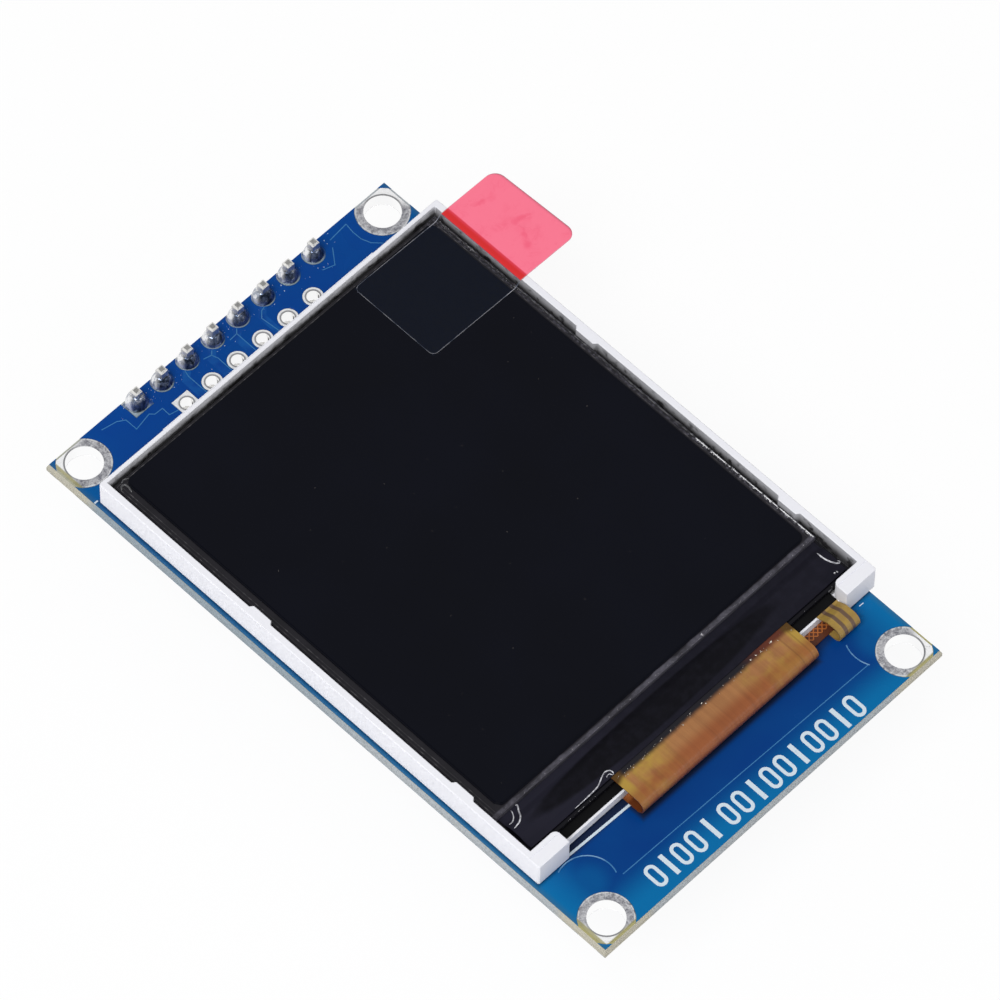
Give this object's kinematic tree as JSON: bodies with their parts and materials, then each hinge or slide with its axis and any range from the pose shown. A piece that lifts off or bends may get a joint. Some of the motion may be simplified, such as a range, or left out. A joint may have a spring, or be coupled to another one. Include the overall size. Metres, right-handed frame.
{
  "type": "tft display module",
  "caption": "Small colour display in a white backlight frame on a blue carrier board with a pin header, a rolled amber flex, corner mounting holes and a pink film pull tab.",
  "frame": {"origin": "centre of the four mounting holes, on the back face of the bare board", "axes": "+Z out of the display, +Y along the board towards the pin header, +X towards the side with the pull tab"},
  "size_m": [0.0396, 0.0559, 0.0125],
  "materials": {
    "laminate": "rough glass-epoxy",
    "solder_mask": "gloss blue",
    "tin": "tinned",
    "pin_metal": "tinned brass",
    "black_plastic": "satin",
    "white_plastic": "satin moulded",
    "clear_plastic": "polished",
    "white_film": "satin",
    "lamp": "gloss",
    "black_tape": "gloss",
    "display_glass": "polished",
    "polariser": "gloss",
    "protective_film": "clear gloss",
    "silicon": "polished",
    "amber_flex": "gloss amber",
    "foam_tape": "matt",
    "pink_film": "gloss translucent",
    "tan_ceramic": "matt",
    "dark_ceramic": "satin"
  },
  "bodies": {
    "root": {"circuit_board": "laminate", "front_solder_mask": "solder_mask", "rear_solder_mask": "solder_mask", "mounting_rings": "tin", "header_barrels": "tin", "spare_barrels": "tin", "header_strip": "black_plastic", "header_pins": "pin_metal", "header_solder": "tin", "backlight_frame": "white_plastic", "reflector_film": "white_film", "light_guide": "clear_plastic", "diffuser_film": "white_film", "lower_prism_film": "white_film", "upper_prism_film": "white_film", "backlight_leds": "lamp", "rim_tape": "black_tape", "rear_polariser": "polariser", "array_glass": "display_glass", "colour_filter_glass": "display_glass", "front_polariser": "polariser", "protective_film": "protective_film", "driver_chip": "silicon", "ledge_cover": "black_tape", "display_flex": "amber_flex", "flex_pads": "tin", "flex_solder": "tin", "backlight_flex": "amber_flex", "mounting_tape": "foam_tape", "pull_tab": "pink_film", "regulator_body": "black_plastic", "regulator_leads": "tin", "transistor_body": "black_plastic", "transistor_leads": "tin", "capacitor_bodies": "tan_ceramic", "capacitor_ends": "tin", "resistor_bodies": "dark_ceramic", "resistor_ends": "tin", "rear_solder": "tin"}
  },
  "joints": []
}
